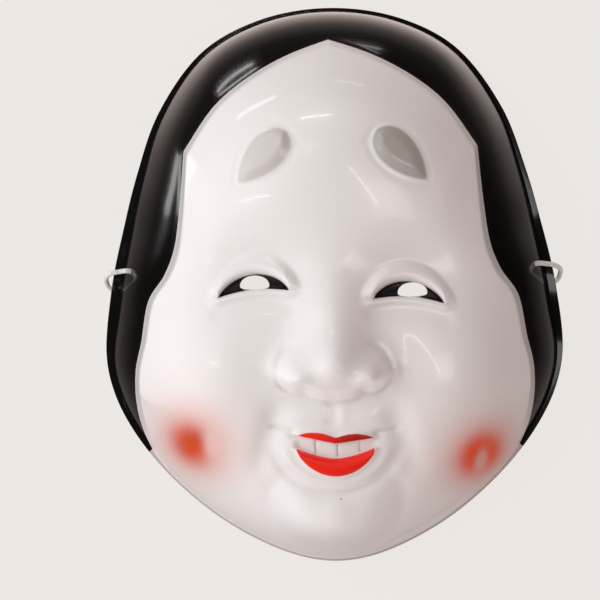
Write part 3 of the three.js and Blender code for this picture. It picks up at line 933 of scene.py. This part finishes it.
def eye_distance(x, y):
    """Inside a slit: the smallest of the ways to its two arcs and to its ends."""
    inside = []
    for eye in eyes:
        along, _, upper, lower = eye_arcs(x, eye)
        inside.append(np.minimum.reduce([upper - y, y - lower, (1 - np.abs(along)) * 8]))
    return np.maximum(*inside)


def lip_distance(x, y):
    """Inside a lip: the smallest of the ways to its two edges and to the mouth's ends."""
    upper_top, upper_foot, _, lower_top, lower_foot = mouth_edges(x)
    ends = (mouth_half - np.abs(x - mouth_middle)) * 0.8
    upper = np.minimum.reduce([upper_top - y, y - upper_foot, ends])
    lower = np.minimum.reduce([lower_top - y, y - lower_foot, ends])
    return np.maximum(upper, lower)


def painted_tooth_shade_distance(x, y):
    """Inside the painted shade of the teeth: the gaps between them and the line under them."""
    _, upper_foot, tooth_foot, _, _ = mouth_edges(x)
    gap = np.max([-np.abs(x - place) for place in tooth_gaps], axis=0)
    gap = np.minimum.reduce([gap, upper_foot - y, y - tooth_foot])
    below = -np.abs(y - tooth_foot + 0.2) - 0.3
    inside_mouth = mouth_half - 0.4 - np.abs(x - mouth_middle)
    return np.minimum(np.maximum(gap, below), inside_mouth)


outside = ramp(skin(plan_x, plan_y, True) - height, 0.7 * wall, 0.4 * wall)
turns, radii = turn_and_radius(plan_x, plan_y)
on_flange = radii > plan(turns)[1] - 0.05
outside = np.where(on_flange, ramp(height - rim_lift(plan_x, plan_y), 0.1, 0.4), outside)
store("outside", outside)
store("hair", hair_distance(plan_x, plan_y))
store("eye", eye_distance(plan_x, plan_y))
store("lip", lip_distance(plan_x, plan_y))
store("painted_tooth_shade", painted_tooth_shade_distance(plan_x, plan_y))
store("brow", np.maximum(*(brow_distance(plan_x, plan_y, brow) for brow in brows)))
store("blush", hills(plan_x, plan_y, blush_spray_and_dimple_highlight))
store("halo", hills(plan_x, plan_y, blush_halo))
store("flange", ramp(radii - plan(turns)[1], -0.1, 0.5))
store("wall_shade", wall_shade["strength"] * ramp(turns - hair_tip_turn, *wall_shade["turns"]))
store("across", plan_x)
store("upper_lip", ramp(plan_y, *upper_lip_foot) * (np.abs(plan_x) < mouth_half + 2))
store("speck", speck_radius - np.hypot(plan_x - speck_place[0], plan_y - speck_place[1]))
print("painted points:", int((outside > 0.5).sum()))

# %% [markdown]
# ## Finishes
# The face is white lacquer with a soft gloss and a very slight ripple, as sprayed plastic
# has. The hair is a deeper gloss. The red of the lips, the black of the eyes and the grey of
# the brows are brushed on, and the blush is sprayed. The inside is left as bare plastic.
# Some colours also hold painted light and shade: the blush is brighter and the brows and the
# upper lip darker on the right, the dimples hold painted highlights, and the gaps of the
# teeth, the flange, the step's wall and the grooves of the elastic are painted darker.

# %% Finish helpers


def paint(red, green, blue):
    """A colour as the eye reads it, from 0 to 255, turned into amounts of light."""
    shares = np.array([red, green, blue]) / 255
    light = np.where(shares < 0.04045, shares / 12.92, ((shares + 0.055) / 1.055) ** 2.4)
    return (*light.tolist(), 1)


class Nodes:
    """The nodes of a material or of the room, with short ways to add more."""

    def __init__(self, owner):
        self.owner = owner
        self.owner.use_nodes = True
        self.nodes = owner.node_tree.nodes
        self.shader = self.nodes.get("Principled BSDF")

    def link(self, output, socket):
        self.owner.node_tree.links.new(output, socket)

    def add(self, kind, settings=None, **values):
        """Adds a node. Settings are its options, and values go to its sockets by name, as
        a number or as another node's output."""
        node = self.nodes.new("ShaderNode" + kind)
        for key, value in (settings or {}).items():
            setattr(node, key, value)
        for key, value in values.items():
            socket = node.inputs[int(key[1:])] if key[0] == "_" else node.inputs[key.replace("_", " ")]
            if isinstance(value, bpy.types.NodeSocket):
                self.link(value, socket)
            else:
                socket.default_value = value
        return node

    def attribute(self, name):
        return self.add("Attribute", {"attribute_name": name}).outputs["Fac"]

    def math(self, operation, one, two=0.0):
        return self.add("Math", {"operation": operation}, _0=one, _1=two).outputs[0]

    def between(self, value, low, high):
        """0 below low, 1 above high, and a smooth step between them."""
        options = {"interpolation_type": "SMOOTHSTEP"}
        return self.add("MapRange", options, Value=value, From_Min=low, From_Max=high).outputs[0]

    def mix(self, share, one, two):
        options = {"data_type": "RGBA"}
        return self.add("Mix", options, _0=share, _6=one, _7=two).outputs[2]

    def noise(self, scale, detail=2.0):
        place = self.add("TexCoord").outputs["Object"]
        return self.add("TexNoise", Vector=place, Scale=scale, Detail=detail).outputs["Fac"]


# %% Lacquered shell
lacquer = Nodes(bpy.data.materials.new("lacquered_shell"))
edge_wobble = lacquer.math("MULTIPLY", lacquer.math("SUBTRACT", lacquer.noise(900), 0.5), 0.25)


def area(name, edge=0.09):
    """1 inside a painted outline and 0 outside it, with a slightly uneven brushed edge."""
    return lacquer.between(lacquer.math("ADD", lacquer.attribute(name), edge_wobble), -edge, edge)


def soft(name, low, high, strength=1.0):
    """A smooth step of a stored number, from 0 at low to the strength at high."""
    step = lacquer.between(lacquer.attribute(name), low, high)
    return lacquer.math("MULTIPLY", step, strength)


white = lacquer.mix(lacquer.noise(45), paint(248, 245, 245), paint(244, 241, 241))
halo = lacquer.math("MULTIPLY", lacquer.attribute("halo"), 0.9)
pinked = lacquer.mix(halo, white, paint(234, 158, 148))
# Painted light and shade: by this share towards the right, the blush is brighter and more orange on
# the right and the brows are darker.
painted_side_light = soft("across", -20, 20)
blush_and_side_light = lacquer.mix(painted_side_light, paint(220, 80, 36), paint(252, 82, 30))
blushed = lacquer.mix(soft("blush", -0.1, 0.98), pinked, blush_and_side_light)
# Painted shade: the brows' grey is darker on the right side.
brow_grey_and_side_shade = lacquer.mix(painted_side_light, paint(219, 212, 211), paint(184, 178, 174))
browed = lacquer.mix(soft("brow", -0.3, 0.9), blushed, brow_grey_and_side_shade)
# Painted shade in the gaps between the teeth and along their foot.
tooth_shaded = lacquer.mix(soft("painted_tooth_shade", -0.6, 0.1), browed, paint(182, 158, 154))
rosy = lacquer.mix(soft("lip", -1.2, 0.2, 0.35), tooth_shaded, paint(243, 168, 166))
# Painted shade: the upper lip is darker towards its right end, where it faces down.
upper_lip_painted_shade = lacquer.math("MULTIPLY", lacquer.attribute("upper_lip"), soft("across", -9, 7, 0.75))
red = lacquer.mix(upper_lip_painted_shade, paint(254, 27, 0), paint(158, 14, 10))
lipped = lacquer.mix(area("lip", 0.16), rosy, red)
specked = lacquer.mix(area("speck"), lipped, paint(92, 78, 74))
# Painted shade: the flange is a darker grey round the rim, seen along the chin.
flange_shaded = lacquer.mix(lacquer.attribute("flange"), specked, paint(192, 181, 179))
eyed = lacquer.mix(area("eye", 0.12), flange_shaded, paint(34, 21, 23))
shaded = lacquer.math("MULTIPLY", soft("hair", -3.4, -2.2), lacquer.attribute("wall_shade"))
walled = lacquer.mix(shaded, eyed, paint(172, 164, 168))
hair = area("hair")
haired = lacquer.mix(hair, walled, paint(13, 10, 10))
bare = lacquer.mix(lacquer.noise(30), paint(226, 222, 214), paint(214, 209, 200))
on_outside = lacquer.attribute("outside")
lacquer.link(lacquer.mix(on_outside, bare, haired), lacquer.shader.inputs["Base Color"])
gloss = lacquer.add("MapRange", Value=hair, To_Min=0.3, To_Max=0.16).outputs[0]
inside_gloss = lacquer.add("MapRange", Value=on_outside, To_Min=0.25, To_Max=0.0).outputs[0]
lacquer.link(lacquer.math("ADD", gloss, inside_gloss), lacquer.shader.inputs["Roughness"])
lacquer.shader.inputs["Coat Weight"].default_value = 0.35
lacquer.shader.inputs["Coat Roughness"].default_value = 0.07
ripple = lacquer.add("Bump", Strength=0.12, Distance=0.0002, Height=lacquer.noise(260, 3.0))
lacquer.link(ripple.outputs["Normal"], lacquer.shader.inputs["Normal"])
shell.data.materials.append(lacquer.owner)

# %% Elastic cover
braid = Nodes(bpy.data.materials.new("elastic"))
along = braid.add("SeparateXYZ", Vector=braid.add("UVMap", {"uv_map": "braid"}).outputs["UV"])
strand_waves = []
for operation in ("ADD", "SUBTRACT"):
    wound = braid.math("MULTIPLY", along.outputs[0], 2 * math.pi * strand_count)
    walked = braid.math("MULTIPLY", along.outputs[1], 2 * math.pi / strand_pitch)
    strand_waves.append(braid.math("COSINE", braid.math(operation, wound, walked)))
weave = braid.math("MAXIMUM", *strand_waves)
fibre = braid.noise(5200, 3.0)
# Painted shade: the cover is darker between the strands, where the braid's relief is low.
cover = braid.mix(braid.between(weave, -0.9, 0.5), paint(176, 170, 162), paint(240, 238, 233))
cover = braid.mix(braid.math("MULTIPLY", fibre, 0.3), cover, paint(205, 200, 192))
braid.link(cover, braid.shader.inputs["Base Color"])
braid.shader.inputs["Roughness"].default_value = 0.85
braid.shader.inputs["Sheen Weight"].default_value = 0.3
rough_weave = braid.math("ADD", weave, braid.math("MULTIPLY", fibre, 0.6))
threads = braid.add("Bump", Strength=0.6, Distance=0.00008, Height=rough_weave)
braid.link(threads.outputs["Normal"], braid.shader.inputs["Normal"])
for piece in (cord, *knots):
    piece.data.materials.append(braid.owner)

# %% [markdown]
# ## The table and the light
# The mask lies on a pale glowing table, as on a product photographer's light table, so that
# hardly any shadow shows round it and the open pupils look bright. The room sends two kinds
# of light. What shades the forms is nearly even, brighter to the upper left and dark in the
# upper right corner, with a window and two low lights. What the gloss mirrors is a dim room
# with a bright lower half, so that the hair stays black where it is flat and shows a pale
# table where it is steep. A few narrow lights give the lines of gloss, and a broad one gives
# the sheen on the right cheek.

# %% Table
table_half = 9
table_drop = 0.0002
corners = [(-1, -1), (1, -1), (1, 1), (-1, 1)]
table_points = [(table_half * x, table_half * y, -table_drop) for x, y in corners]
table = mesh_object("table", table_points, [(0, 1, 2, 3)])
pale = Nodes(bpy.data.materials.new("pale_table"))
pale.shader.inputs["Base Color"].default_value = paint(78, 77, 76)
pale.shader.inputs["Roughness"].default_value = 0.9
pale.shader.inputs["Specular IOR Level"].default_value = 0.1
pale.shader.inputs["Emission Color"].default_value = paint(236, 231, 227)
pale.shader.inputs["Emission Strength"].default_value = 0.93
table.data.materials.append(pale.owner)
table.visible_glossy = False

# %% Light
white_light = (1.0, 0.99, 0.98)
low_light = (1.0, 0.86, 0.92)


def soft_light(name, place, target, size, power, colour=white_light, mirrored=True):
    """An area light. A light that isn't mirrored works as if through crossed polarisers:
    it shades the forms and leaves no reflection on the lacquer. A mirrored light gives only
    its reflection."""
    data = bpy.data.lights.new(name, "AREA")
    data.shape = "RECTANGLE"
    data.size, data.size_y = size
    data.energy = power
    data.color = colour
    lamp = bpy.data.objects.new(name, data)
    lamp.location = place
    aim = Vector(target) - Vector(place)
    lamp.rotation_mode = "QUATERNION"
    lamp.rotation_quaternion = aim.to_track_quat("-Z", "Y")
    lamp.visible_glossy = mirrored
    lamp.visible_diffuse = not mirrored
    lamp.visible_camera = False
    bpy.context.scene.collection.objects.link(lamp)


# Each light's name, place, target, size and power, in metres and watts, and its colour.
shading_lights = [
    ("window", (-0.7, 0.2, 0.7), (0, 0, 0.03), (0.5, 0.5), 1.6, white_light),
    ("low_left", (-0.45, -0.42, 0.03), (-0.03, -0.07, 0.02), (0.5, 0.04), 0.35, low_light),
    ("low_right", (0.45, -0.42, 0.03), (0.03, -0.07, 0.02), (0.5, 0.04), 0.25, low_light),
]
# The same for the lights of the gloss, which are all white.
gloss_lights = [
    ("forehead_line", (-0.11, 0.86, 0.45), (0, 0.06, 0.06), (0.28, 0.014), 0.36),
    ("forehead_spot", (-0.2, 0.55, 0.78), (0, 0.05, 0.06), (0.12, 0.014), 0.12),
    ("cheek_line_right", (0.27, 0.12, 0.9), (0.03, -0.02, 0.06), (0.4, 0.014), 0.26),
    ("cheek_sheen_right", (0.47, 0.0, 0.85), (0.04, -0.02, 0.06), (0.36, 0.36), 0.9),
    ("cheek_line_left", (-0.62, 0.08, 0.75), (-0.04, -0.026, 0.06), (0.012, 0.25), 0.16),
    ("cheek_spot_left", (-0.79, -0.37, 0.44), (-0.045, -0.035, 0.058), (0.014, 0.1), 0.08),
    ("hair_streak_left", (-0.5, 0.82, -0.11), (-0.036, 0.078, 0.028), (0.3, 0.035), 0.24),
    ("hair_streak_right", (0.13, 0.86, -0.12), (0.012, 0.088, 0.026), (0.2, 0.012), 0.05),
    ("hair_streak_side", (-0.77, 0.31, -0.21), (-0.057, 0.041, 0.032), (0.16, 0.08), 0.14),
]
for values in shading_lights:
    soft_light(*values, mirrored=False)
for values in gloss_lights:
    soft_light(*values)

# %% Room
# What the gloss mirrors at each rise of a direction, at the sides and towards the forehead.
mirrored_room = {
    "sides": [(-1.0, (134, 122, 117)), (-0.8, (114, 104, 100)), (-0.45, (34, 31, 30)),
              (-0.1, (18, 16, 16)), (0.4, (30, 27, 26)), (1.0, (44, 41, 40))],
    "top": [(-1.0, (232, 216, 208)), (-0.74, (202, 187, 180)), (-0.49, (94, 86, 82)),
            (-0.32, (38, 35, 33)), (-0.12, (26, 24, 23)), (1.0, (26, 24, 23))],
}
top_edge = (0.18, 0.6)
top_strength = 3.0
bright_side = (-0.54, 0.25, 0.2)
dark_corner = (0.72, 0.66, 0.2)
corner_colour = (0.1, 0.03, 0.01, 1)
bright_colour = (1.0, 1.02, 1.01, 1)
dim_colour = (0.29, 0.215, 0.18, 1)
room_strength = 1.12

room = Nodes(bpy.data.worlds.new("room"))
bpy.context.scene.world = room.owner
look = room.add("TexCoord").outputs["Generated"]
direction = room.add("SeparateXYZ", Vector=look)
level = room.add("MapRange", Value=direction.outputs[2], From_Min=-1.0).outputs[0]
glows = []
for stops in mirrored_room.values():
    glow = room.add("ValToRGB", Fac=level)
    while len(glow.color_ramp.elements) < len(stops):
        glow.color_ramp.elements.new(0.5)
    for element, (rise, colour) in zip(glow.color_ramp.elements, stops):
        element.position = (rise + 1) / 2
        element.color = paint(*colour)
    glows.append(glow.outputs[0])
top_low, top_high = top_edge
top = room.add("MapRange", Value=direction.outputs[1], From_Min=top_low, From_Max=top_high).outputs[0]
top_glow = room.add("MapRange", Value=top, To_Min=1.0, To_Max=top_strength).outputs[0]
glow = room.add("MixRGB", Fac=top, Color1=glows[0], Color2=glows[1]).outputs[0]
mirrored = room.add("Background", Color=glow, Strength=top_glow).outputs[0]


def room_share(aim, low, high):
    """0 where a direction's product with the aim is low, 1 where it is high."""
    toward = room.add("VectorMath", {"operation": "DOT_PRODUCT"}, _0=look, _1=aim).outputs["Value"]
    return room.add("MapRange", Value=toward, From_Min=low, From_Max=high).outputs[0]


bright_share = room_share(bright_side, -0.5, 0.5)
corner_share = room_share(dark_corner, 0.3, 1.0)
ambient = room.add("MixRGB", Fac=bright_share, Color1=dim_colour, Color2=bright_colour).outputs[0]
cornered = room.add("MixRGB", Fac=corner_share, Color1=ambient, Color2=corner_colour).outputs[0]
lighting = room.add("Background", Color=cornered, Strength=room_strength).outputs[0]
is_gloss = room.add("LightPath").outputs["Is Glossy Ray"]
chosen = room.add("MixShader", Fac=is_gloss, _1=lighting, _2=mirrored).outputs[0]
room.link(chosen, room.nodes["World Output"].inputs["Surface"])
print("room nodes:", len(room.nodes))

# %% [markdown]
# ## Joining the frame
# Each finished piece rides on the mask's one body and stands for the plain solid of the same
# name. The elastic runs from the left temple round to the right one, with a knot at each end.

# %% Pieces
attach(shell, "root")
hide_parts("mask_shell")
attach(cord, "root")
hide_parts("elastic_cord")
for knot, node in zip(knots, ("knot_left", "knot_right")):
    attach(knot, "root")
    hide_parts(node)
